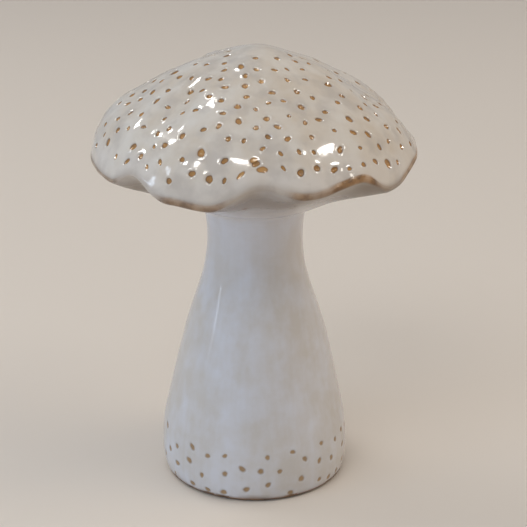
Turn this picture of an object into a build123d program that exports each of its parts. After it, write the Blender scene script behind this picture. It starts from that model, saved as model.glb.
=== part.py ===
from build123d import *
import os
from math import cos, pi, radians, sin, sqrt

# A glazed stoneware mushroom in two hollow castings, with a ring of slip joining cap to stem.
# Millimetres, Z up, the foot on Z = 0 and the front towards -Y.

# Stem
joint_height = 85.5
foot_radius = 28.3
belly_radius = 29.8
belly_height = 7.5
haunch_radius = 28.3
haunch_height = 21.5
shank_radius = 17.0
shank_drop = 21.0
neck_radius = 15.5

# Cap, before its rim is waved
rim_rise = 18.6
dome_rise = 32.1
cap_radius = 48.9
lip_thickness = 2.4
lip_undercut = 0.7
lip_nose = 0.6

# The largest of the dots poked into the dome, and where their spiral starts and ends on it
dot_count = 40
dot_diameter = 2.4
dot_depth = 0.4
dot_stations = (0.16, 0.92)

# Walls and the slip between the castings
wall = 5.0
slip_thickness = 0.8

# Foot ring and vents
foot_ring_width = 6.0
foot_recess = 1.6
foot_bevel = 0.8
base_vent_diameter = 3.0
cap_vent_diameter = 8.0

# Waves of the rim: the most that the lip is lifted, that it reaches out and that the dome
# above it swells, then a row for each crest and hollow with its angle from +X in degrees and
# its shares of the three
wave_lift = 3.2
wave_reach = 1.3
wave_swell = 2.4
rim_waves = [
    (6, 0.62, 0, -0.89),
    (24, -0.56, 0.31, 0.28),
    (42, 0.69, -0.62, -0.44),
    (60, -0.75, 0.31, 0.33),
    (78, 0.56, -0.46, -0.33),
    (96, -0.5, 0.31, 0.28),
    (114, 0.75, -0.69, -0.56),
    (133, -0.81, 0.31, 0.44),
    (152, 0.56, -0.46, -0.22),
    (180, 0.09, 0.38, 0.89),
    (212, -0.47, 0.15, 0.11),
    (223, 0.78, -1, -1),
    (241, -0.8, 0.31, 0.33),
    (254, -1, 0.46, 0.56),
    (272, 0.94, -0.62, -0.11),
    (287, -0.03, 0.31, 0.22),
    (308, 0.66, -0.46, -0.17),
    (321, -0.75, 0.38, 0.17),
    (350, 0.5, 0.15, -0.44),
]

# Powers by which the waves and the swelling die away from the lip
dome_fade = 8
underside_fade = 2.2
swell_fade = 1.6

# Bends of the cap's outlines, as shares of the way across and up between their ends
dome_bends = [(0.305, 0.89), (0.67, 0.6), (0.835, 0.415), (0.93, 0.23)]
underside_bends = [(0.38, 0.34), (0.65, 0.58), (0.87, 0.8)]
lip_slope = (0.4, -1)
underside_slope = (-1, -0.55)

# Places along the cap's outlines, as shares of their length, and points in each ring
dome_stations = [0.1, 0.2, 0.32, 0.45, 0.58, 0.7, 0.8, 0.9, 1.0]
underside_stations = [0.0, 0.12, 0.3, 0.5, 0.7, 0.85, 1.0]
dome_cavity_stations = [0.25, 0.55, 0.75]
underside_cavity_stations = [0.25, 0.7]
ring_points = 54

# Heights and points that follow from these
seat_height = joint_height + slip_thickness
rim_height = seat_height + rim_rise
apex = (0, rim_height + dome_rise)
lip_top = (cap_radius, rim_height + lip_thickness / 2)
lip_bottom = (cap_radius - lip_undercut, rim_height - lip_thickness / 2)
foot = (foot_radius, 0)
belly = (belly_radius, belly_height)
haunch = (haunch_radius, haunch_height)
shank = (shank_radius, joint_height - shank_drop)
neck = (neck_radius, seat_height)
neck_bore = neck_radius - wall
base_top = foot_recess + wall
dot_ball_radius = (dot_diameter**2 / 4 + dot_depth**2) / (2 * dot_depth)
golden_angle = 180 * (3 - sqrt(5))


def bends(start, end, shares):
    """Points at shares of the way across and up from start to end."""
    return [
        (start[0] + across * (end[0] - start[0]), start[1] + up * (end[1] - start[1]))
        for across, up in shares
    ]


# Outlines of the cap's two sides, drawn with the radius as X and the height as Y
with BuildLine() as dome_outline:
    dome_foot = (apex[0], lip_top[1])
    dome_corner = (lip_top[0], apex[1])
    Spline(apex, *bends(dome_foot, dome_corner, dome_bends), lip_top, tangents=((1, 0), lip_slope))
dome_line = dome_outline.edge()

with BuildLine() as underside_outline:
    floor = bends(lip_bottom, neck, underside_bends)
    Spline(lip_bottom, *floor, neck, tangents=(underside_slope, (0, -1)))
underside_line = underside_outline.edge()


def rim_at(angle):
    """Shares of lift, reach and swell at an angle, eased from row to row by half a cosine."""
    rows = [*rim_waves, (rim_waves[0][0] + 360, *rim_waves[0][1:])]
    angle = (angle - rows[0][0]) % 360 + rows[0][0]
    for (start, *here), (end, *there) in zip(rows, rows[1:]):
        if angle <= end:
            ease = (1 - cos(pi * (angle - start) / (end - start))) / 2
            return [a + ease * (b - a) for a, b in zip(here, there)]


def waved(line, station, angle, wave, proud, swelling):
    """A point of the cap at a station of an outline and an angle, waved, swollen and set proud."""
    place, along = line @ station, line % station
    lift, reach, swell = rim_at(angle)
    bulge = proud + swelling * swell * wave_swell
    radius = place.X + wave * reach * wave_reach - bulge * along.Y
    height = place.Y + wave * lift * wave_lift + bulge * along.X
    return Vector(radius * cos(radians(angle)), radius * sin(radians(angle)), height)


def ring(line, station, wave, proud=0, swelling=0):
    """A closed curve round the cap through waved points, with evenly spaced parameters: rings
    that share them loft into a light surface."""
    shares = [step / ring_points for step in range(ring_points)]
    points = [waved(line, station, 360 * share, wave, proud, swelling) for share in shares]
    return Wire([Edge.make_spline(points, periodic=True, parameters=[*shares, 1])])


def dome_shares(station):
    """Shares of the waves, which grow towards the lip, and of the swelling above them."""
    outward = (dome_line @ station).X / cap_radius
    wave = outward**dome_fade
    return wave, outward**swell_fade * (1 - wave**2)


def dome_ring(station):
    """A ring of the dome."""
    wave, swelling = dome_shares(station)
    return ring(dome_line, station, wave, swelling=swelling)


def underside_ring(station):
    """A ring of the underside, whose waves die away to a plain circle at the neck."""
    outward = ((underside_line @ station).X - neck_radius) / (lip_bottom[0] - neck_radius)
    return ring(underside_line, station, max(outward, 0) ** underside_fade)


def dot_ball(number):
    """The middle of the ball that pokes one dot, on a golden-angle spiral from the crown out."""
    first, last = dot_stations
    station = first + (last - first) * sqrt((number + 0.5) / dot_count)
    wave, swelling = dome_shares(station)
    proud = dot_ball_radius - dot_depth
    return waved(dome_line, station, golden_angle * number, wave, proud, swelling)


def inside(line, station):
    """The point under a station of an outline where the cap's wall ends."""
    place, along = line @ station, line % station
    return (place.X + wall * along.Y, place.Y - wall * along.X)


os.makedirs("parts", exist_ok=True)

# Cap: a dome, a blunt lip and an underside lofted through rings, closed by a flat seat, with a
# hollow, a vent to the stem and dots poked into the dome
with BuildLine() as lip_outline:
    Line(lip_top, lip_bottom)
lip_line = lip_outline.edge()
dome_rings = [dome_ring(station) for station in dome_stations]
underside_rings = [underside_ring(station) for station in underside_stations]
nose_ring = ring(lip_line, station=0.5, wave=1, proud=lip_nose)
dome = Shell.make_loft([Vertex(0, 0, apex[1]), *dome_rings])
lip = Shell.make_loft([dome_rings[-1], nose_ring, underside_rings[0]], ruled=True)
underside = Shell.make_loft(underside_rings)
seat = Face(underside_rings[-1])
with BuildPart() as cap:
    add(Solid(Shell([*dome.faces(), *lip.faces(), *underside.faces(), seat])))
    with BuildSketch(Plane.XZ):
        with BuildLine():
            roof = [inside(dome_line, station) for station in dome_cavity_stations]
            bed = [inside(underside_line, station) for station in underside_cavity_stations]
            Polyline((0, apex[1] - wall), *roof, *bed, (0, seat_height + wall), close=True)
        make_face()
    revolve(mode=Mode.SUBTRACT)
    with Locations((0, 0, seat_height + wall)):
        Hole(cap_vent_diameter / 2, depth=wall)
    with Locations(*[dot_ball(number) for number in range(dot_count)]):
        Sphere(dot_ball_radius, mode=Mode.SUBTRACT)
cap.part.label = "cap"
export_step(cap.part, "parts/cap.step")

# Outline of the stem and of the slip above it, in four arcs that run into each other
with BuildSketch(Plane.XZ) as stem_section:
    with BuildLine():
        TangentArc(belly, foot, tangent=(0, -1))
        belly_arc = TangentArc(belly, haunch, tangent=(0, 1))
        side_arc = TangentArc(haunch, shank, tangent=belly_arc % 1)
        TangentArc(shank, neck, tangent=side_arc % 1)
        Polyline(neck, (0, seat_height), (0, 0), foot)
    make_face()
    chamfer(stem_section.vertices().sort_by_distance(Vector(*foot))[0], foot_bevel)

# Stem: hollow and open at the top, on a bevelled foot ring with a vent in its base
with BuildPart() as stem:
    revolve(stem_section.sketch)
    split(bisect_by=Plane.XY.offset(joint_height), keep=Keep.BOTTOM)
    with BuildSketch(Plane.XZ):
        with BuildLine():
            Polyline(
                (0, base_top),
                (belly[0] - wall, base_top),
                (haunch[0] - wall, haunch[1]),
                (shank[0] - wall, shank[1]),
                (neck_bore, joint_height),
                (0, joint_height),
                close=True,
            )
        make_face()
    revolve(mode=Mode.SUBTRACT)
    with BuildSketch():
        Circle(foot_radius - foot_ring_width)
    extrude(amount=foot_recess, mode=Mode.SUBTRACT)
    with Locations((0, 0, base_top)):
        Hole(base_vent_diameter / 2, depth=wall)
stem.part.label = "stem"
export_step(stem.part, "parts/stem.step")

# Neck slip: the ring of slip between the stem and the cap's seat
with BuildPart() as neck_slip:
    revolve(stem_section.sketch)
    split(bisect_by=Plane.XY.offset(joint_height), keep=Keep.TOP)
    with Locations((0, 0, seat_height)):
        Hole(neck_bore, depth=slip_thickness)
neck_slip.part.label = "neck_slip"
export_step(neck_slip.part, "parts/neck_slip.step")
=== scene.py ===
# %% [markdown]
# # A glazed stoneware mushroom
# The ornament is two hollow castings: a stem on a foot ring, and a domed cap with a wavy lip.
# Both wear a glossy white glaze that pools, thins and breaks brown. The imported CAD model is
# loaded first, because every surface below has to sit exactly where its solids are.

import bpy
import numpy as np
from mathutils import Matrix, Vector
from mathutils.geometry import delaunay_2d_cdt


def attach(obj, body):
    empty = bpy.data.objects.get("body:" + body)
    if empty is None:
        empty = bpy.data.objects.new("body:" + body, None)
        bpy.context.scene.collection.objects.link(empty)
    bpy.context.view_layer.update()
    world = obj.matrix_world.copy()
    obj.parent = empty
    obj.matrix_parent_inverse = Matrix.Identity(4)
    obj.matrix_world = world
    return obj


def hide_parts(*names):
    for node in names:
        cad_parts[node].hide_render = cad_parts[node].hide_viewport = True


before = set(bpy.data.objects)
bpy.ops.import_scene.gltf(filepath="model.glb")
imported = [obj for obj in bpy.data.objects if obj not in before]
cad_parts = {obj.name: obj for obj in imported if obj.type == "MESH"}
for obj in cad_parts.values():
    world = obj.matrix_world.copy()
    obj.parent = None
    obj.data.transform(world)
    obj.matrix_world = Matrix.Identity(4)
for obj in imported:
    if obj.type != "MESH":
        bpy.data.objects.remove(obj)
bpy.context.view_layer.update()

MM = 0.001

# %% [markdown]
# ## The sizes of the real thing
# These are the same sizes as in the part's source, in millimetres, with the foot at height 0.
# The stem is a chain of arcs through five places. The cap is drawn before its rim is waved.

# %% Sizes in millimetres
FOOT, BELLY, HAUNCH = (28.3, 0.0), (29.8, 7.5), (28.3, 21.5)
SHANK, NECK = (17.0, 64.5), (15.5, 86.3)
JOINT_HEIGHT = 85.5
FOOT_RING_WIDTH, FOOT_RECESS, FOOT_BEVEL = 6.0, 1.6, 0.8
VENT_RADIUS, VENT_TOP = 1.5, 6.6

CAP_RADIUS, RIM_HEIGHT, APEX_HEIGHT = 48.9, 104.9, 137.0
LIP_THICKNESS, LIP_UNDERCUT, LIP_ROUNDNESS = 2.4, 0.7, 3.8
LIP_TOP = (CAP_RADIUS, RIM_HEIGHT + LIP_THICKNESS / 2)
LIP_BOTTOM = (CAP_RADIUS - LIP_UNDERCUT, RIM_HEIGHT - LIP_THICKNESS / 2)
LIP_SLOPE, UNDERSIDE_SLOPE = (0.4, -1.0), (-1.0, -0.55)
DOME_BENDS = [(0.305, 0.89), (0.67, 0.6), (0.835, 0.415), (0.93, 0.23)]
UNDERSIDE_BENDS = [(0.38, 0.34), (0.65, 0.58), (0.87, 0.8)]
print("cap", 2 * CAP_RADIUS, "mm wide on a stem", 2 * BELLY[0], "mm wide")

# %% [markdown]
# ## Curves for the outlines
# A potter's profile rib gives a section of a few smooth sweeps, so an outline is drawn as a
# curve through a few places. Three kinds are enough: a spline for the dome and the underside,
# one arc after another for the stem, and a short round turn for the lip.

# %% Three kinds of curve


def unit(heading):
    """A heading scaled to length one."""
    return np.asarray(heading, float) / np.hypot(*heading)


def spline(places, first_heading, last_heading, count=400):
    """A curve through places: between two places a cubic, and the cubics' slopes are the ones
    that make the bend run on from each cubic to the next, with the two end headings given."""
    places = np.asarray(places, float)
    steps = np.hypot(*np.diff(places, axis=0).T)
    knots = np.concatenate([[0], np.cumsum(steps)])
    rows = np.eye(len(places))
    sides = np.zeros_like(places)
    sides[0], sides[-1] = unit(first_heading), unit(last_heading)
    for k in range(1, len(places) - 1):
        before, after = steps[k - 1], steps[k]
        rows[k, k - 1 : k + 2] = after, 2 * (before + after), before
        rise_before = (places[k] - places[k - 1]) / before
        rise_after = (places[k + 1] - places[k]) / after
        sides[k] = 3 * (after * rise_before + before * rise_after)
    slopes = np.linalg.solve(rows, sides)
    t = np.linspace(0, knots[-1], count)
    k = np.clip(np.searchsorted(knots, t, side="right") - 1, 0, len(steps) - 1)
    return turn(places[k], slopes[k], places[k + 1], slopes[k + 1], steps[k], t - knots[k])


def turn(start, start_slope, end, end_slope, length, t):
    """The cubic that leaves start along one slope and reaches end along another: each end and
    each slope is weighted by its own blend of t over the length."""
    s = (t / length)[:, None]
    reach = np.broadcast_to(np.asarray(length, float), t.shape)[:, None]
    near = (1 + 2 * s) * (1 - s) ** 2
    far = s**2 * (3 - 2 * s)
    leave = s * (1 - s) ** 2 * reach
    arrive = s**2 * (s - 1) * reach
    return near * start + far * end + leave * start_slope + arrive * end_slope


def arc(start, heading, end, count=120):
    """The circle's arc that leaves start along heading and ends at end: turning evenly by twice
    the angle between the heading and the chord. Returns the points and the last heading."""
    start, end = np.asarray(start, float), np.asarray(end, float)
    chord = complex(*(end - start))
    way = complex(*unit(heading))
    half_turn = np.angle(chord / way)
    t = np.linspace(0, 1, count)
    share = np.sin(half_turn * t) / np.sin(half_turn) if abs(half_turn) > 1e-9 else t
    points = complex(*start) + chord * share * np.exp(1j * half_turn * (t - 1))
    last = chord / abs(chord) * np.exp(1j * half_turn)
    return np.stack([points.real, points.imag], 1), (last.real, last.imag)


def bends(start, end, shares):
    """Places at shares of the way across and up from start to end."""
    return [
        (start[0] + across * (end[0] - start[0]), start[1] + up * (end[1] - start[1]))
        for across, up in shares
    ]


print("an arc from the belly turns to", arc(BELLY, (0, 1), HAUNCH)[1])

# %% [markdown]
# ## Sections
# A section is half of a piece's outline, from the axis at the top to the axis at the bottom,
# kept as columns of numbers along its length: radius, height, heading and whatever else
# changes on the way. Any place on the piece is then an angle and a length along the section.

# %% The section of a piece


class Section:
    """Radius, height and heading along an outline, read at any length from its start."""

    def __init__(self, runs):
        points = np.concatenate(runs)
        kept = np.concatenate([[True], np.hypot(*np.diff(points, axis=0).T) > 1e-6])
        self.points = points[kept]
        steps = np.diff(self.points, axis=0)
        self.length = np.concatenate([[0], np.cumsum(np.hypot(*steps.T))])
        headings = np.gradient(self.points, self.length, axis=0)
        self.headings = headings / np.hypot(*headings.T)[:, None]

    def at(self, along):
        """Radius, height and the heading's two parts at lengths along the section."""
        columns = np.concatenate([self.points, self.headings], 1)
        return [np.interp(along, self.length, column) for column in columns.T]

    def reach(self, place):
        """The length along the section of the point nearest to a place."""
        return self.length[np.argmin(np.hypot(*(self.points - np.asarray(place)).T))]


dome_run = spline(
    [
        (0, APEX_HEIGHT),
        *bends((0, LIP_TOP[1]), (CAP_RADIUS, APEX_HEIGHT), DOME_BENDS),
        LIP_TOP,
    ],
    (1, 0),
    LIP_SLOPE,
)
lip_run = turn(
    np.array(LIP_TOP),
    unit(LIP_SLOPE),
    np.array(LIP_BOTTOM),
    unit(UNDERSIDE_SLOPE),
    LIP_ROUNDNESS,
    np.linspace(0, LIP_ROUNDNESS, 40),
)
underside_run = spline(
    [LIP_BOTTOM, *bends(LIP_BOTTOM, NECK, UNDERSIDE_BENDS), NECK], UNDERSIDE_SLOPE, (0, -1)
)
cap_section = Section([dome_run, lip_run, underside_run, [(0.0, NECK[1])]])

foot_run, _ = arc(BELLY, (0, -1), FOOT)
belly_run, up_belly = arc(BELLY, (0, 1), HAUNCH)
side_run, up_side = arc(HAUNCH, up_belly, SHANK)
neck_run, _ = arc(SHANK, up_side, NECK)
rising = np.concatenate([foot_run[::-1], belly_run[1:], side_run[1:], neck_run[1:]])
rising = rising[(rising[:, 1] > FOOT_BEVEL) & (rising[:, 1] < JOINT_HEIGHT)]
ring_inside = FOOT[0] - FOOT_RING_WIDTH
stem_base = [
    (FOOT[0] - FOOT_BEVEL, 0),
    (ring_inside, 0),
    (ring_inside, FOOT_RECESS),
    (VENT_RADIUS, FOOT_RECESS),
    (VENT_RADIUS, VENT_TOP),
    (0, VENT_TOP),
]
stem_top = [(0, JOINT_HEIGHT), (rising[-1, 0], JOINT_HEIGHT)]
stem_section = Section([stem_top, rising[::-1], stem_base])
print("sections:", round(cap_section.length[-1]), "and", round(stem_section.length[-1]), "mm")

# %% [markdown]
# ## The waved rim
# While the clay was soft the cap's edge was pressed up and down by hand. Each crest and hollow
# is a row: its angle, then how far the lip is lifted, how far it reaches out and how far the
# dome above it swells, as shares of the largest. A table of a few rows keeps the hand in it,
# where a plain sine would look like a pie crust.

# %% Waves of the rim
WAVE_LIFT, WAVE_REACH, WAVE_SWELL = 3.2, 1.3, 2.4
DOME_FADE, UNDERSIDE_FADE, SWELL_FADE = 8, 2.2, 1.6
RIM_WAVES = np.array(
    [
        (6, 0.62, 0, -0.89),
        (24, -0.56, 0.31, 0.28),
        (42, 0.69, -0.62, -0.44),
        (60, -0.75, 0.31, 0.33),
        (78, 0.56, -0.46, -0.33),
        (96, -0.5, 0.31, 0.28),
        (114, 0.75, -0.69, -0.56),
        (133, -0.81, 0.31, 0.44),
        (152, 0.56, -0.46, -0.22),
        (180, 0.09, 0.38, 0.89),
        (212, -0.47, 0.15, 0.11),
        (223, 0.78, -1, -1),
        (241, -0.8, 0.31, 0.33),
        (254, -1, 0.46, 0.56),
        (272, 0.94, -0.62, -0.11),
        (287, -0.03, 0.31, 0.22),
        (308, 0.66, -0.46, -0.17),
        (321, -0.75, 0.38, 0.17),
        (350, 0.5, 0.15, -0.44),
    ]
)
dome_end = cap_section.reach(LIP_TOP)
underside_start = cap_section.reach(LIP_BOTTOM)
underside_end = cap_section.reach(NECK)


def rim_shares(angle, table=RIM_WAVES):
    """A table's shares at angles: half a cosine eases each row to the next."""
    starts = table[:, 0]
    turned = (np.degrees(angle) - starts[0]) % 360 + starts[0]
    row = np.searchsorted(starts, turned, side="right") - 1
    following = (row + 1) % len(starts)
    span = (starts[following] - starts[row]) % 360
    ease = ((1 - np.cos(np.pi * (turned - starts[row]) / span)) / 2)[:, None]
    return (table[row, 1:] * (1 - ease) + table[following, 1:] * ease).T


def cap_surface(angle, along, rise):
    """A point of the cap: the section's point, lifted and pushed out with the rim's waves,
    then moved off the surface by the swelling and by rise. The waves grow with a power of the
    radius towards the lip, on the dome and on the underside alike."""
    radius, height, heading_out, heading_up = cap_section.at(along)
    lift, reach, swell = rim_shares(angle)
    over = np.clip(radius / CAP_RADIUS, 0, 1)
    under = np.clip((radius - NECK[0]) / (LIP_BOTTOM[0] - NECK[0]), 0, 1)
    below = np.clip((along - dome_end) / (underside_start - dome_end), 0, 1)
    wave = over**DOME_FADE * (1 - below) + under**UNDERSIDE_FADE * below
    off = rise + (1 - below) * over**SWELL_FADE * (1 - wave**2) * swell * WAVE_SWELL
    out = radius + wave * reach * WAVE_REACH - off * heading_up
    up = height + wave * lift * WAVE_LIFT + off * heading_out
    return np.stack([out * np.cos(angle), out * np.sin(angle), up], 1)


rim = cap_surface(np.radians(np.arange(360)), np.full(360, dome_end), 0)
print("the lip's edge runs from", rim[:, 2].min().round(1), "to", rim[:, 2].max().round(1), "mm high")


def stem_surface(angle, along, rise):
    """A point of the stem: the section turned round the axis, moved off by rise."""
    radius, height, heading_out, heading_up = stem_section.at(along)
    out = radius - rise * heading_up
    return np.stack([out * np.cos(angle), out * np.sin(angle), height + rise * heading_out], 1)


# %% [markdown]
# ## Hand-made unevenness
# A pressed and dipped piece is never a true surface of revolution. A sum of a dozen sine waves
# in different directions gives soft dents and swellings some centimetres across, which is what
# breaks the reflections of the lamps into several small patches.

# %% Dents and swellings


def lumps(points, wavelength, seed):
    """The mean of twelve sine waves in space, each with its own direction and phase, about
    one wavelength long: smooth everywhere, and between about -1 and 1."""
    rng = np.random.default_rng(seed)
    directions = rng.normal(size=(12, 3))
    directions /= np.linalg.norm(directions, axis=1)[:, None]
    lengths = wavelength * rng.uniform(0.7, 1.5, 12)
    phases = rng.uniform(0, 2 * np.pi, 12)
    waves = points @ (2 * np.pi * directions / lengths[:, None]).T + phases
    return np.sin(waves).sum(1) / np.sqrt(12)


print("lumps on the rim:", lumps(rim, 20, 1).round(2)[::60])

# %% [markdown]
# ## The dots
# Before glazing, dots were poked into the clay with a blunt point, all over the dome and in a
# band round the foot. The glaze runs thin in them and the brown clay shows. The largest ones
# are those of the CAD model, on a golden-angle spiral. The rest are thrown at random, and each
# is kept only where no other is too near, which is how a hand fills a surface. Every dot is a
# real hollow in the mesh, not a painted spot.

# %% Places of the dots
GOLDEN_ANGLE = np.pi * (3 - np.sqrt(5))
MAIN_DOTS, MAIN_STATIONS = 40, (0.16, 0.92)


def scatter(section, first, last, gap, seed, angle=(), along=()):
    """Angles and lengths of dots thrown at random between two lengths of a section, after the
    ones given: a throw is kept if every dot kept before is further away than the gap."""
    rng = np.random.default_rng(seed)
    fine = np.linspace(first, last, 2000)
    area = np.cumsum(section.at(fine)[0])
    throws = np.interp(rng.uniform(0, area[-1], 4000), area, fine)
    angle, along = list(angle), list(along)
    for new_angle, new_along in zip(rng.uniform(-np.pi, np.pi, 4000), throws):
        radius = section.at(new_along)[0]
        turned = np.angle(np.exp(1j * (np.array(angle) - new_angle)))
        apart = np.hypot(turned * radius, np.array(along) - new_along)
        if not len(apart) or apart.min() > gap:
            angle.append(new_angle)
            along.append(new_along)
    return np.array(angle), np.array(along)


main_order = np.arange(MAIN_DOTS)
main_share = np.sqrt((main_order + 0.5) / MAIN_DOTS)
main_along = dome_end * (MAIN_STATIONS[0] + (MAIN_STATIONS[1] - MAIN_STATIONS[0]) * main_share)
CROWN_BARE, EDGE_BARE = 8.0, 3.3

# Three blotches low at the front, where the glaze ran off a scrape: angle in degrees, length
# along the section, radius, how much longer than wide, and lean in degrees
BLOTCHES = np.array(
    [
        (269.5, 52.4, 1.1, 1.2, 90),
        (272.5, 55.8, 1.4, 1.5, 90),
        (265.2, 56.0, 1.0, 1.8, 124),
    ]
)
cap_places = scatter(
    cap_section,
    CROWN_BARE,
    dome_end - EDGE_BARE,
    gap=4.3,
    seed=11,
    angle=np.concatenate([main_order * GOLDEN_ANGLE, np.radians(BLOTCHES[:, 0])]),
    along=np.concatenate([main_along, BLOTCHES[:, 1]]),
)
BAND_TOP, BAND_BOTTOM = (29.3, 16.5), (29.0, 2.4)
foot_band = stem_section.reach(BAND_TOP), stem_section.reach(BAND_BOTTOM)
stem_places = scatter(stem_section, *foot_band, gap=4.9, seed=5)
print(len(cap_places[0]), "dots on the cap and", len(stem_places[0]), "on the stem")

# %% Shapes of the dots


class Dots:
    """Poked dots at places on a section: sizes, ovals, steepness and tones, by chance."""

    def __init__(self, places, smallest, largest, steepness, softness, seed):
        rng = np.random.default_rng(seed)
        self.angle, self.along = places
        self.softness = softness
        count = len(self.angle)
        self.radius = (smallest + (largest - smallest) * rng.beta(2.0, 2.2, count)) / 2
        self.oval = rng.uniform(1.0, 1.6, count)
        self.lean = rng.uniform(0, np.pi, count)
        self.wobble = rng.uniform(0, 2 * np.pi, (2, count))
        self.steepness = steepness * rng.uniform(0.85, 1.15, count)
        self.tone = rng.uniform(0, 1, count)

    def outline(self, dot, direction):
        """A dot's radius in a direction: an oval whose edge wobbles twice over."""
        turned = direction - self.lean[dot]
        oval = 1 / np.sqrt((np.cos(turned) / self.oval[dot]) ** 2 + np.sin(turned) ** 2)
        first, second = self.wobble[0][dot], self.wobble[1][dot]
        edge = 1 + 0.05 * np.sin(3 * direction + first) + 0.03 * np.sin(5 * direction + second)
        return self.radius[dot] / np.sqrt(self.oval[dot]) * oval * edge


cap_dots = Dots(cap_places, smallest=1.2, largest=2.3, steepness=0.68, softness=0.2, seed=21)
cap_dots.radius[:MAIN_DOTS] = np.maximum(cap_dots.radius[:MAIN_DOTS] * 1.2, 0.9)
blotches = slice(MAIN_DOTS, MAIN_DOTS + len(BLOTCHES))
cap_dots.radius[blotches], cap_dots.oval[blotches] = BLOTCHES[:, 2:4].T
cap_dots.lean[blotches] = np.radians(BLOTCHES[:, 4])
cap_dots.steepness[blotches], cap_dots.tone[blotches] = 0.12, 1.0
stem_dots = Dots(stem_places, smallest=1.6, largest=2.6, steepness=0.25, softness=0.5, seed=22)
print("dots from", 2 * cap_dots.radius.min().round(2), "to", 2 * cap_dots.radius.max().round(2), "mm")

# %% [markdown]
# ## A mesh that is fine only where it must be
# A grid fine enough for dots two millimetres wide would need a million faces. The dotted zone
# is unrolled flat instead, by the map that keeps every small shape true (its flat radius grows
# by the same share as the length over the radius), and points are set down there: rings round
# each dot, and a looser sprinkling between. A Delaunay triangulation joins them up.

# %% Rings of points, and the flat map
COLUMNS = 384
RING_SHARES = np.array([0.3, 0.55, 0.75, 0.9, 1.0, 1.12, 1.28, 1.48, 1.75])
RING_POINTS = 22
LOOSE_STEP = 1.05


class FlatMap:
    """The dotted zone of a section laid flat as complex numbers, true to shape."""

    def __init__(self, section, first, last):
        self.section, self.first, self.last = section, first, last
        self.along = np.linspace(first, last, 4000)
        radius = section.at(self.along)[0]
        middle = (radius[1:] + radius[:-1]) / 2
        growth = np.concatenate([[0], np.cumsum(np.diff(self.along) / middle)])
        self.flat = np.exp(growth - growth[-1])
        if first == 0:
            self.flat[0] = 0

    def lay(self, angle, along):
        """Flat places of angles and lengths."""
        return np.interp(along, self.along, self.flat) * np.exp(1j * angle)

    def lift(self, places):
        """Angles and lengths of flat places."""
        return np.angle(places), np.interp(np.abs(places), self.flat, self.along)

    def scale(self, along):
        """Flat size of one millimetre at lengths along the section."""
        return np.interp(along, self.along, self.flat) / self.section.at(along)[0]


def nearness(places, flat_map, dots):
    """For each flat place, the smallest share of a dot's radius that it is from that dot's
    middle, and which dot that is: below 1 it is inside. Whole arrays, one dot at a time."""
    centres = flat_map.lay(dots.angle, dots.along)
    scales = flat_map.scale(dots.along)
    best = np.full(len(places), np.inf)
    which = np.zeros(len(places), int)
    for dot, (centre, scale) in enumerate(zip(centres, scales)):
        offset = (places - centre) / (scale * np.exp(1j * dots.angle[dot]))
        share = np.abs(offset) / dots.outline(dot, np.angle(offset))
        which[share < best] = dot
        best = np.minimum(best, share)
    return best, which


def sprinkle(flat_map, dots):
    """Flat places for the vertices of a dotted zone: an even ring at each open end, rings
    round every dot, and rings of loose points where no dot is near."""
    section, first, last = flat_map.section, flat_map.first, flat_map.last
    turn_full = 2 * np.pi * np.arange(COLUMNS) / COLUMNS
    ends = [flat_map.lay(turn_full, np.full(COLUMNS, end)) for end in (first, last) if end > 0]
    steps = int((last - first) / LOOSE_STEP)
    loose = [np.zeros(1, complex)] if first == 0 else []
    for step in range(1, steps):
        along = first + (last - first) * step / steps
        count = max(6, int(2 * np.pi * section.at(along)[0] / LOOSE_STEP))
        angle = 2 * np.pi * (np.arange(count) + 0.5 * (step % 2)) / count
        loose.append(flat_map.lay(angle, np.full(count, along)))
    loose = np.concatenate(loose)
    loose = loose[nearness(loose, flat_map, dots)[0] > RING_SHARES[-1] + 0.25]
    direction = 2 * np.pi * np.arange(RING_POINTS) / RING_POINTS
    around = []
    for dot in range(len(dots.radius)):
        outline = dots.outline(dot, direction) * np.exp(1j * direction)
        rings = np.concatenate([[0], np.outer(RING_SHARES, outline).ravel()])
        placing = flat_map.scale(dots.along[dot]) * np.exp(1j * dots.angle[dot])
        around.append(flat_map.lay(dots.angle[dot], dots.along[dot]) + rings * placing)
    around = np.concatenate(around)
    lengths = flat_map.lift(around)[1]
    around = around[(lengths > first + 0.4) & (lengths < last - 0.4)]
    return np.concatenate([*ends, loose, around])


def triangulate(flat_map, dots):
    """Vertices of a dotted zone as flat places, and its triangles, with no bridge across the
    open middle."""
    places = sprinkle(flat_map, dots)
    corners = np.stack([places.real, places.imag], 1).tolist()
    vertices, _, faces, *_ = delaunay_2d_cdt(corners, [], [], 0, 1e-9)
    places = np.array(vertices) @ [1, 1j]
    faces = np.array(faces)
    inner = np.abs(places) < flat_map.flat[0] * 1.0001
    return places, faces[~inner[faces].all(1)]


cap_map = FlatMap(cap_section, 0, dome_end - 0.9)
stem_map = FlatMap(stem_section, foot_band[0] - 3.5, foot_band[1] + 1.5)
cap_flat, cap_triangles = triangulate(cap_map, cap_dots)
stem_flat, stem_triangles = triangulate(stem_map, stem_dots)
print("dotted zones:", len(cap_triangles), "and", len(stem_triangles), "triangles")

# %% [markdown]
# ## From places to a closed mesh
# Below and above the dotted zone plain rings of quads are enough. All parts of a piece are
# worked out as one long list of angles and lengths, so one call gives every vertex, and the
# rings that two parts share are welded afterwards by comparing rounded coordinates.

# %% Building a piece


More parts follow.
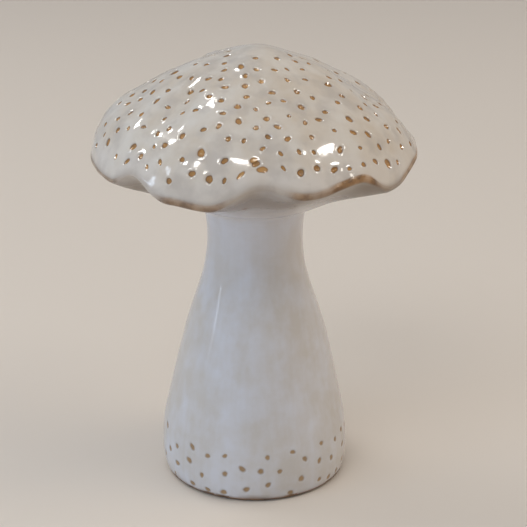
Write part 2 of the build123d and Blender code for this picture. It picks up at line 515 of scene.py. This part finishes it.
def rings(lengths, first_index):
    """Angles, lengths and triangles of rings of COLUMNS vertices at these lengths: each cell of
    the grid is cut into two triangles that face outwards."""
    count = len(lengths)
    angle = np.tile(2 * np.pi * np.arange(COLUMNS) / COLUMNS, count)
    along = np.repeat(lengths, COLUMNS)
    row, column = np.meshgrid(np.arange(count - 1), np.arange(COLUMNS), indexing="ij")
    beside = (column + 1) % COLUMNS
    here, right = row * COLUMNS + column, row * COLUMNS + beside
    below, below_right = here + COLUMNS, right + COLUMNS
    cells = [np.stack([here, below, below_right], -1), np.stack([here, below_right, right], -1)]
    return angle, along, first_index + np.concatenate(cells).reshape(-1, 3)


def hollow_of(places, flat_map, dots):
    """How far each flat place is sunk, how much of the dot's brown it shows, how near the middle
    it is and the dot's tone: a round bowl a third wider than the brown in it, so that its
    glazed sides shine, and a faint edge of the clay that the point pushed up."""
    share, which = nearness(places, flat_map, dots)
    bowl = np.clip(1 - (share / 1.38) ** 2, 0, 1) ** 2
    edge = np.exp(-(((share - 1.5) / 0.25) ** 2))
    sunk = dots.radius[which] * dots.steepness[which] * (0.12 * edge - bowl)
    stain = np.clip((1.06 - share) / dots.softness, 0, 1)
    core = np.clip(1.06 - share, 0, 1)
    return sunk, {"stain": stain, "core": core, "tone": dots.tone[which]}


def build_piece(
    name,
    surface,
    flat_map,
    dots,
    places,
    triangles,
    upper,
    lower,
    uneven,
    bare,
    under_shade,
):
    """A closed mesh object of a dotted zone with rings above and below it. Surface gives the points,
    uneven their lumps, bare the share of clay that shows, and the last how much painted shade darkens
    the glaze on the lip's roll and under the cap. Those and the marks of the dots are kept as vertex
    attributes."""
    angle, along = flat_map.lift(places)
    sunk, marks = hollow_of(places, flat_map, dots)
    faces, angles, alongs = [triangles], [angle], [along]
    for lengths in (upper, lower):
        if len(lengths):
            more_angle, more_along, more_faces = rings(lengths, sum(map(len, angles)))
            angles.append(more_angle)
            alongs.append(more_along)
            faces.append(more_faces)
    angle, along, faces = map(np.concatenate, (angles, alongs, faces))
    extra = len(angle) - len(sunk)
    marks = {mark: np.pad(values, (0, extra)) for mark, values in marks.items()}
    marks["along"] = along
    marks["bare"] = bare(angle, along)
    marks["under_shade"] = under_shade(angle, along)
    plain = surface(angle, along, np.zeros(len(angle)))
    rise = np.pad(sunk, (0, extra)) + uneven(plain, angle, along)
    return put_mesh(name, surface(angle, along, rise), faces, marks)


def put_mesh(name, points, faces, marks):
    """Vertices in millimetres and triangles as a smooth mesh object, with vertex attributes.
    Vertices at one place are welded, and triangles that this leaves without area are dropped."""
    _, first, where = np.unique(
        np.round(points / 0.002).astype(int), axis=0, return_index=True, return_inverse=True
    )
    points = points[first]
    faces = where.reshape(-1)[faces]
    a, b, c = faces.T
    faces = faces[(a != b) & (b != c) & (c != a)]
    mesh = bpy.data.meshes.new(name)
    mesh.vertices.add(len(points))
    mesh.vertices.foreach_set("co", (points * MM).astype(np.float32).ravel())
    mesh.loops.add(faces.size)
    mesh.loops.foreach_set("vertex_index", faces.astype(np.int32).ravel())
    mesh.polygons.add(len(faces))
    mesh.polygons.foreach_set("loop_start", np.arange(0, faces.size, 3, dtype=np.int32))
    mesh.update(calc_edges=True)
    mesh.shade_smooth()
    for mark, values in marks.items():
        mesh.attributes.new(mark, "FLOAT", "POINT")
        mesh.attributes[mark].data.foreach_set("value", values[first].astype(np.float32))
    piece = bpy.data.objects.new(name, mesh)
    bpy.context.scene.collection.objects.link(piece)
    return piece


# %% [markdown]
# ## The cap
# The dome's dotted zone stops just above the lip. From there rings go on round the lip, closely
# spaced where it turns, and in under the cap to the flat seat on the neck. On the lip the glaze
# has run off in places, and over the lip's roll and under the cap the glaze is painted darker as
# shade. A second table of rows says both: an angle, the share that is bare, where that starts
# and ends in millimetres from the dome's edge, where the painted shade starts, and how strong it
# is at the lip before it deepens under the cap.

# %% Make the cap
CORNER = 0.03
LIP_BARE_AND_SHADE = np.array(
    [
        (6, 0.7, 0.2, 1.7, -1.3, 1.0),
        (30, 0.4, 0.4, 2.2, -1.3, 1.0),
        (70, 0.8, 0.0, 1.9, -1.3, 1.0),
        (100, 0.4, 0.4, 2.4, -1.3, 1.0),
        (135, 0.75, 0.0, 1.8, -1.3, 1.0),
        (165, 0.35, 0.4, 2.2, -1.3, 1.0),
        (190, 0.5, 0.6, 2.0, -1.0, 1.0),
        (212, 0.5, 0.6, 2.0, -1.2, 0.8),
        (219, 0.06, 0.6, 2.4, -2.4, 0.35),
        (233, 0.06, 0.6, 2.6, -1.8, 0.4),
        (242, 0.62, 0.0, 3.0, -1.4, 1.0),
        (256, 0.58, 0.2, 3.0, -1.6, 1.0),
        (264, 0.1, 0.4, 2.4, -2.8, 0.45),
        (279, 0.12, 0.2, 2.4, -2.8, 0.45),
        (285, 0.65, 0.0, 2.8, -1.8, 1.0),
        (290, 0.45, 0.0, 2.4, -1.6, 1.0),
        (294, 0.5, -0.3, 2.0, -1.2, 1.0),
        (299, 1.0, -0.6, 1.9, -0.8, 1.0),
        (311, 1.0, -0.6, 1.9, -0.8, 1.0),
        (317, 0.25, 0.0, 1.6, -1.0, 1.0),
        (325, 0.1, 0.2, 1.4, -1.0, 1.0),
        (331, 0.62, -0.2, 2.0, -1.3, 1.0),
        (350, 0.7, -0.2, 2.0, -1.3, 1.0),
    ]
)
SPOT = np.radians(265), underside_start + 15.5


def cap_uneven(points, angle, along):
    """Broad dents of a few tenths of a millimetre, finer ones over them, on the dome the faint
    ridges that fingers left as they smoothed the clay from the crown down, and at the lip the
    small drips of the glaze."""
    fade = np.clip((underside_start + 4 - along) / 6, 0, 1)
    ridges = np.sin(31 * angle + 2 * np.sin(5 * angle)) * np.sin(7 * angle + 1)
    streak = np.clip(along / 12, 0, 1) * np.clip((dome_end - along) / 25, 0, 1)
    dents = 0.26 * lumps(points, 16, 23) + 0.05 * lumps(points, 8, 4) + 0.06 * ridges * streak
    drips = 0.035 * lumps(points, 4.5, 9) * np.clip((along - dome_end + 8) / 5, 0, 1)
    return fade * (dents + drips)


def cap_under_shade(angle, along):
    """Painted shade on the lip's roll and under the cap: a smooth rise over the lip's turn, growing
    to full strength some millimetres in under the cap.
    """
    _, _, _, start, most = rim_shares(angle, LIP_BARE_AND_SHADE)
    rise = np.clip((along - dome_end - start) / (1.3 - start), 0, 1)
    deeper = np.clip((along - underside_start) / 6, 0, 1)
    return rise**2 * (3 - 2 * rise) * (most + (1 - most) * deeper)


def cap_bare(angle, along):
    """The lip's share of bare clay: over its width on the turn, with a soft fade either way.
    One small brown spot sits under the front of the cap."""
    share, start, end, _, _ = rim_shares(angle, LIP_BARE_AND_SHADE)
    above = np.clip((along - dome_end - start) / 0.9 + 0.5, 0, 1)
    below = np.clip((dome_end + end - along) / 0.9 + 0.5, 0, 1)
    lip = above**2 * (3 - 2 * above) * below**2 * (3 - 2 * below) * share
    across = (angle - SPOT[0]) * cap_section.at(along)[0]
    return lip + np.exp(-((across / 0.8) ** 2) - ((along - SPOT[1]) / 1.4) ** 2)


cap_rings = np.sort(
    np.concatenate(
        [
            np.linspace(cap_map.last, dome_end, 3),
            np.linspace(dome_end, underside_start, 13)[1:],
            np.linspace(underside_start, underside_end, 50)[1:],
            [underside_end - CORNER, underside_end + CORNER],
            [cap_section.length[-1]],
        ]
    )
)
cap = build_piece(
    "cap_glazed",
    cap_surface,
    cap_map,
    cap_dots,
    cap_flat,
    cap_triangles,
    [],
    cap_rings,
    cap_uneven,
    cap_bare,
    cap_under_shade,
)
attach(cap, "root")
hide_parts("cap")
print("cap:", len(cap.data.polygons), "triangles")

# %% [markdown]
# ## The stem
# Rings run from the neck to the dotted band, and again from the band over the bevel, the foot
# ring, the recess and the vent. Each corner has a ring close on either side of it, so that the
# smooth shading turns there in a fraction of a millimetre, as a sponged clay edge does.

# %% Make the stem


def stem_uneven(points, angle, along):
    """Faint swellings from throwing and dipping, dying away at the neck and at the foot."""
    fade = np.clip((along - 25) / 12, 0, 1) * np.clip((stem_map.last + 1 - along) / 6, 0, 1)
    return fade * (0.22 * lumps(points, 30, 7) + 0.05 * lumps(points, 11, 8))


def stem_bare_and_shadow(angle, along):
    """Bare clay from the edge of the glaze, a little above the bevel, to the middle of the
    base, its band widened also as painted contact shadow along the foot. The edge wanders by a
    few tenths of a millimetre."""
    edge = stem_section.reach(rising[0]) - 1.2 + 0.15 * np.sin(5 * angle) + 0.1 * np.sin(13 * angle)
    return np.clip((along - edge) / 0.5, 0, 1)


def stem_under_shade(angle, along):
    """No painted shade on the stem."""
    return np.zeros(len(along))


corners = [stem_section.reach(place) for place in [stem_top[1], rising[0], *stem_base[:-1]]]
beside_corners = np.concatenate([[at - CORNER, at, at + CORNER] for at in corners])
neck_end = stem_section.reach(stem_top[1])
upper_rings = np.concatenate(
    [[0], beside_corners[:3], np.linspace(neck_end, stem_map.first, 56)[1:]]
)
lower_rings = np.unique(
    np.concatenate([[stem_map.last], beside_corners[3:], [stem_section.length[-1]]])
)
lower_rings = lower_rings[lower_rings >= stem_map.last]
stem = build_piece(
    "stem_glazed",
    stem_surface,
    stem_map,
    stem_dots,
    stem_flat,
    stem_triangles,
    upper_rings,
    lower_rings,
    stem_uneven,
    stem_bare_and_shadow,
    stem_under_shade,
)
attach(stem, "root")
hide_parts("stem")
print("stem:", len(stem.data.polygons), "triangles")

# %% [markdown]
# ## The joint
# The cap was luted on with slip and smoothed over with a finger, and the glaze runs across it,
# so only a hairline shows. The ring of slip takes the outline's own curve between the two
# castings, with flat faces above and below it, and wears the same glaze.

# %% Make the smoothed joint
JOINT_INSIDE = 12.0
slip_run = neck_run[neck_run[:, 1] > JOINT_HEIGHT]
slip_run = np.concatenate([slip_run[::-1], rising[-1:]])
slip_edge = [(JOINT_INSIDE, slip_run[-1, 1]), (JOINT_INSIDE, slip_run[0, 1])]
joint_section = Section([slip_run, slip_edge, slip_run[:1]])
joint_corners = [joint_section.reach(slip_run[-1]), joint_section.length[-1]]
joint_lengths = np.unique(
    np.concatenate(
        [
            np.linspace(0, joint_corners[0], 5),
            [CORNER, joint_corners[0] - CORNER, joint_corners[0] + CORNER],
            [joint_section.reach(place) for place in slip_edge],
            [joint_corners[1] - CORNER, joint_corners[1]],
        ]
    )
)
joint_angle, joint_along, joint_faces = rings(joint_lengths, 0)
joint_radius, joint_height = joint_section.at(joint_along)[:2]
joint_points = np.stack(
    [joint_radius * np.cos(joint_angle), joint_radius * np.sin(joint_angle), joint_height], 1
)
marks = dict.fromkeys(["stain", "core", "tone", "along", "bare", "under_shade"], np.zeros(len(joint_angle)))
joint = put_mesh("neck_glazed", joint_points, joint_faces, marks)
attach(joint, "root")
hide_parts("neck_slip")
print("joint:", len(joint.data.polygons), "triangles")

# %% [markdown]
# ## Shader arithmetic
# A glaze is mostly sums: a little more white where it pools, a little more brown where it is
# thin. One small class wraps a socket, so that sums of sockets are written as plain Python.

# %% A socket that can be added and multiplied


class Shade:
    """An output socket in a material; operators between sockets and numbers add Math nodes."""

    def __init__(self, tree, socket=None):
        self.tree, self.socket = tree, socket

    def node(self, kind, settings=None, sockets=None, output=0):
        """A node of a type: first its settings, then values or links of its sockets."""
        made = self.tree.nodes.new(kind)
        for name, value in (settings or {}).items():
            setattr(made, name, value)
        for name, value in (sockets or {}).items():
            if isinstance(value, Shade):
                self.tree.links.new(value.socket, made.inputs[name])
            else:
                made.inputs[name].default_value = value
        return Shade(self.tree, made.outputs[output])

    def math(self, operation, first, second):
        """A Math node of two values or sockets."""
        return self.node("ShaderNodeMath", {"operation": operation}, {0: first, 1: second})

    def __add__(self, other):
        return self.math("ADD", self, other)

    def __sub__(self, other):
        return self.math("SUBTRACT", self, other)

    def __rsub__(self, other):
        return self.math("SUBTRACT", other, self)

    def __mul__(self, other):
        return self.math("MULTIPLY", self, other)

    __radd__, __rmul__ = __add__, __mul__

    def clipped(self):
        """The value held between 0 and 1."""
        return self.node("ShaderNodeClamp", {}, {"Value": self})

    def step(self, low, high):
        """A smooth rise from 0 at low to 1 at high."""
        settings = {"interpolation_type": "SMOOTHSTEP"}
        sockets = {"Value": self, "From Min": low, "From Max": high}
        return self.node("ShaderNodeMapRange", settings, sockets)

    def mix(self, first, second):
        """Two colours blended by this value: all first at 0, all second at 1."""
        settings = {"data_type": "RGBA"}
        return self.node("ShaderNodeMix", settings, {0: self, 6: first, 7: second}, 2)


def paint(red, green, blue):
    """A colour as a painter reads it off a screen, 0 to 255, as the light values shaders use."""
    screen = np.array([red, green, blue]) / 255
    light = np.where(screen <= 0.04045, screen / 12.92, ((screen + 0.055) / 1.055) ** 2.4)
    return (*light.tolist(), 1.0)


def new_material(name):
    """An empty material with a Principled shader; returns it, its shader and its first Shade."""
    material = bpy.data.materials.new(name)
    material.use_nodes = True
    shader = material.node_tree.nodes["Principled BSDF"]
    return material, shader, Shade(material.node_tree)


print("white paint is", [round(value, 3) for value in paint(220, 212, 202)])

# %% [markdown]
# ## The glaze
# Thick glaze is milky and faintly blue, thin glaze lets the clay warm it, and on an edge it runs
# off and leaves brown. Under the cap and on the lip's roll the colour is painted darker as shade,
# and the top of the stem is painted lighter against the cap's shadow. Roughness stays low all over:
# this is glass. A very fine bump is the orange-peel of a fired surface, far smaller than the dents
# that the mesh already has.

# %% Glaze for the cap, the stem and the joint
CLAY, DARK_CLAY = paint(180, 136, 80), paint(100, 66, 34)
STEM_CLAY, DARK_STEM_CLAY = paint(154, 128, 96), paint(112, 88, 62)
LIP_CLAY, DARK_LIP_CLAY = paint(172, 131, 84), paint(112, 84, 58)
# The foot's brown: real bare clay, made darker also as painted contact shadow along the foot.
FOOT_CLAY_AND_SHADOW, DARK_FOOT_CLAY_AND_SHADOW = paint(122, 94, 70), paint(84, 64, 50)
CAP_MILKY, CAP_WARM = paint(208, 202, 194), paint(195, 182, 166)
CAP_POOLED = paint(206, 200, 194)
CAP_GREY = paint(178, 170, 163)
# Painted shade: darker, greyer glaze tones for the underside of the cap and the lip's roll.
SHADED_UNDER_MILKY, SHADED_UNDER_WARM = paint(150, 141, 134), paint(140, 126, 112)
STEM_MILKY, STEM_WARM = paint(196, 198, 206), paint(186, 182, 179)
# Painted light: a lighter glaze tone for the top of the stem, against the cap's shadow.
NECK_PAINTED_LIGHT = paint(218, 218, 226)
NECK_FROM, NECK_TO = 62 * MM, 86 * MM
PINHOLE = paint(128, 116, 104)


def noise_of(shade, place, scale, detail=2.0, stretch=(1, 1, 1)):
    """Noise over the object, in features of about one over scale metres."""
    mapped = shade.node("ShaderNodeMapping", {}, {"Vector": place, "Scale": stretch})
    sockets = {"Vector": mapped, "Scale": scale, "Detail": detail}
    return shade.node("ShaderNodeTexNoise", {}, sockets)


def attribute_of(shade, name):
    """A vertex attribute as a value."""
    return shade.node("ShaderNodeAttribute", {"attribute_name": name}, {}, 2)


def glaze(name):
    """A glossy glaze, milky and warm in patches, cooler on the stem than on the cap. It is painted
    darker as shade under the cap and on the lip's roll, and lighter at the top of the stem against
    the cap's shadow. It is stained by the clay in the dots, and thinned or gone where the attribute
    bare says: broken on the lip, and wholly gone to dry clay on the foot, where the brown is
    darkened also as painted contact shadow."""
    material, shader, shade = new_material(name)
    place = shade.node("ShaderNodeTexCoord", {}, {}, 3)
    height = shade.node("ShaderNodeSeparateXYZ", {}, {"Vector": place}, 2)
    on_cap = height.step(NECK[1] * MM, NECK[1] * MM + 0.014)
    along = attribute_of(shade, "along")
    # Painted shade mask: how far the glaze is darkened under the cap and on the lip's roll.
    under = attribute_of(shade, "under_shade") * on_cap
    patchy = noise_of(shade, place, 55, 2.0).step(0.3, 0.6)
    pooled = along.step(dome_end - 9, dome_end - 2.5) * on_cap * (0.2 + 0.7 * patchy)
    cloud = noise_of(shade, place, 75, 4.0).step(0.34, 0.68)
    runs = noise_of(shade, place, 90, 3.0, (1, 1, 0.12)).step(0.35, 0.7) * (1 - on_cap)
    brushed = noise_of(shade, place, 420, 3.0, (1, 1, 0.05)).step(0.3, 0.7) * (1 - on_cap)
    mottle = noise_of(shade, place, 240, 3.0).step(0.3, 0.7)
    warmth = (cloud * 0.6 + mottle * 0.3 + runs * 0.3 + brushed * 0.25 - 0.1).clipped()
    upper = pooled.mix(warmth.mix(CAP_MILKY, CAP_WARM), CAP_POOLED)
    upper = (noise_of(shade, place, 130, 3.0).step(0.44, 0.68) * 0.6).mix(upper, CAP_GREY)
    # Painted shade: under the cap and over the lip's roll the colour turns to the darker underside
    # tones.
    upper = under.mix(upper, warmth.mix(SHADED_UNDER_MILKY, SHADED_UNDER_WARM))
    # Painted light on the top of the stem, to offset the shadow of the cap.
    neck_painted_light = height.step(NECK_FROM, NECK_TO) * 0.4
    lower = neck_painted_light.mix(warmth.mix(STEM_MILKY, STEM_WARM), NECK_PAINTED_LIGHT)
    colour = on_cap.mix(lower, upper)
    nearest = shade.node("ShaderNodeTexVoronoi", {}, {"Vector": place, "Scale": 48.0})
    colour = ((1 - nearest.step(0.012, 0.024)) * 0.6).mix(colour, PINHOLE)

    grain = noise_of(shade, place, 900, 3.0)
    core, tone = attribute_of(shade, "core"), attribute_of(shade, "tone")
    light = (core.step(0.1, 0.5) * 0.75 + tone * 0.25 + (grain - 0.5) * 1.0).clipped()
    covered = (attribute_of(shade, "stain") * (0.8 + 0.4 * grain)).clipped()
    clay = on_cap.mix(light.mix(DARK_STEM_CLAY, STEM_CLAY), light.mix(DARK_CLAY, CLAY))
    colour = covered.mix(colour, clay)

    broken = noise_of(shade, place, 260, 4.0).step(0.32, 0.68)
    bare = (attribute_of(shade, "bare") * (1 + on_cap * (0.8 * broken - 0.4))).clipped()
    brown = on_cap.mix(broken.mix(FOOT_CLAY_AND_SHADOW, DARK_FOOT_CLAY_AND_SHADOW), broken.mix(LIP_CLAY, DARK_LIP_CLAY))
    colour = bare.mix(colour, brown)
    shade.tree.links.new(colour.socket, shader.inputs["Base Color"])

    dry = bare * (0.7 - 0.64 * on_cap)
    roughness = 0.07 + 0.05 * cloud + 0.03 * covered + dry + 0.2 * under
    shade.tree.links.new(roughness.socket, shader.inputs["Roughness"])
    peel = noise_of(shade, place, 420, 2.0) + bare * (grain * 4.0 + broken * 3.0)
    sockets = {"Height": peel, "Strength": 0.15, "Distance": 0.0001}
    bump = shade.node("ShaderNodeBump", {}, sockets)
    shade.tree.links.new(bump.socket, shader.inputs["Normal"])
    return material


for piece, name in ((cap, "cap glaze"), (stem, "stem glaze"), (joint, "joint glaze")):
    piece.data.materials.append(glaze(name))
print("materials:", [material.name for material in bpy.data.materials])

# %% [markdown]
# ## Floor and light
# The floor is a plain pale sheet. Small bright panes put the crisp patches on the glaze: they
# are hidden from matt light, so they show only as reflections. Large soft screens do the
# opposite. They light the piece, cool from the left and warm from the right, and are hidden from
# reflections. Narrow gaps draw faint lines down the stem and along the lip.

# %% Floor
floor_mesh = bpy.data.meshes.new("floor")
HALF = 3.0
corners_of_floor = [(-HALF, -HALF, 0), (HALF, -HALF, 0), (HALF, HALF, 0), (-HALF, HALF, 0)]
floor_mesh.from_pydata(corners_of_floor, [], [(0, 1, 2, 3)])
floor = bpy.data.objects.new("floor", floor_mesh)
bpy.context.scene.collection.objects.link(floor)
floor_material, floor_shader, _ = new_material("painted floor")
floor_shader.inputs["Base Color"].default_value = paint(221, 213, 204)
floor_shader.inputs["Roughness"].default_value = 0.6
floor_mesh.materials.append(floor_material)
print("floor:", 2 * HALF, "m square")

# %% Lamps and the room's light
AIM = (0, 0, 0.12)


def hang_lamp(name, place, width, height, watts, colour):
    """A rectangular lamp at a place, turned towards the cap."""
    lamp = bpy.data.lights.new(name, "AREA")
    lamp.shape = "RECTANGLE"
    lamp.size, lamp.size_y = width, height
    lamp.energy, lamp.color = watts, colour
    holder = bpy.data.objects.new(name, lamp)
    holder.location = place
    facing = Vector(AIM) - Vector(place)
    holder.rotation_euler = facing.to_track_quat("-Z", "Y").to_euler()
    bpy.context.scene.collection.objects.link(holder)
    return holder


PANE_GLOW = 150.0
PANES = {
    "left pane 1": ((-0.44, 0.57, 1.19), 0.16, 0.15),
    "left pane 2": ((-0.89, 0.46, 0.95), 0.2, 0.14),
    "left pane 3": ((-0.77, -0.67, 0.96), 0.12, 0.24),
    "left pane 4": ((-0.16, -0.84, 1.12), 0.28, 0.14),
    "right pane": ((0.89, -0.27, 1.05), 0.26, 0.16),
}
for name, (place, width, height) in PANES.items():
    pane = hang_lamp(name, place, width, height, PANE_GLOW * width * height, (1.0, 0.97, 0.92))
    pane.visible_diffuse = False
for gap in (
    hang_lamp("low left gap", (-1.2, -0.36, 0.17), 0.06, 0.17, 0.14, (0.7, 0.82, 1.0)),
    hang_lamp("high left gap", (-1.2, -0.36, 0.72), 0.06, 0.17, 0.1, (0.7, 0.82, 1.0)),
    hang_lamp("left lip gap", (-1.13, -0.25, 0.62), 0.3, 0.12, 0.9, (0.7, 0.82, 1.0)),
    hang_lamp("right lip gap", (1.02, -0.38, 0.62), 0.2, 0.08, 0.7, (1.0, 0.95, 0.85)),
):
    gap.visible_diffuse = False
for screen in (
    hang_lamp("left sky", (-0.7, 0.5, 1.1), 0.7, 0.5, 3.0, (1.0, 0.96, 0.9)),
    hang_lamp("front sky", (-0.4, -0.8, 1.05), 0.7, 0.5, 2.8, (1.0, 0.97, 0.93)),
    hang_lamp("right sky", (0.9, -0.25, 1.05), 0.7, 0.5, 2.6, (1.0, 0.93, 0.82)),
    hang_lamp("left wall", (-1.3, -1.1, 0.8), 1.6, 1.4, 6.0, (0.72, 0.86, 1.0)),
    hang_lamp("low left wall", (-1.1, -0.5, 0.25), 0.6, 0.4, 2.4, (0.45, 0.7, 1.0)),
    hang_lamp("right wall", (1.7, 0.2, 0.7), 1.4, 1.4, 8.0, (1.0, 0.78, 0.5)),
):
    screen.visible_glossy = False
world = bpy.data.worlds.new("room")
world.use_nodes = True
world.node_tree.nodes["Background"].inputs["Color"].default_value = (0.98, 0.97, 0.98, 1)
world.node_tree.nodes["Background"].inputs["Strength"].default_value = 0.42
bpy.context.scene.world = world
bpy.context.scene.view_settings.view_transform = "Standard"
print("lamps:", [lamp.name for lamp in bpy.data.lights])

# %% [markdown]
# ## Camera
# The camera looks down a little, from the front, through a long lens, so that the cap's sides
# stay nearly parallel. A small shift moves the picture sideways without turning the camera.

# %% Camera
CAMERA_PLACE, CAMERA_TILT = (0, -0.423, 0.2225), 20.0
lens = bpy.data.cameras.new("camera")
lens.lens, lens.sensor_width = 98.16, 36.0
lens.shift_x = 0.0161
camera = bpy.data.objects.new("camera", lens)
camera.location = CAMERA_PLACE
camera.rotation_euler = (np.radians(90 - CAMERA_TILT), 0, 0)
bpy.context.scene.collection.objects.link(camera)
bpy.context.scene.camera = camera
print("camera:", tuple(camera.location), "tilted", CAMERA_TILT, "degrees")
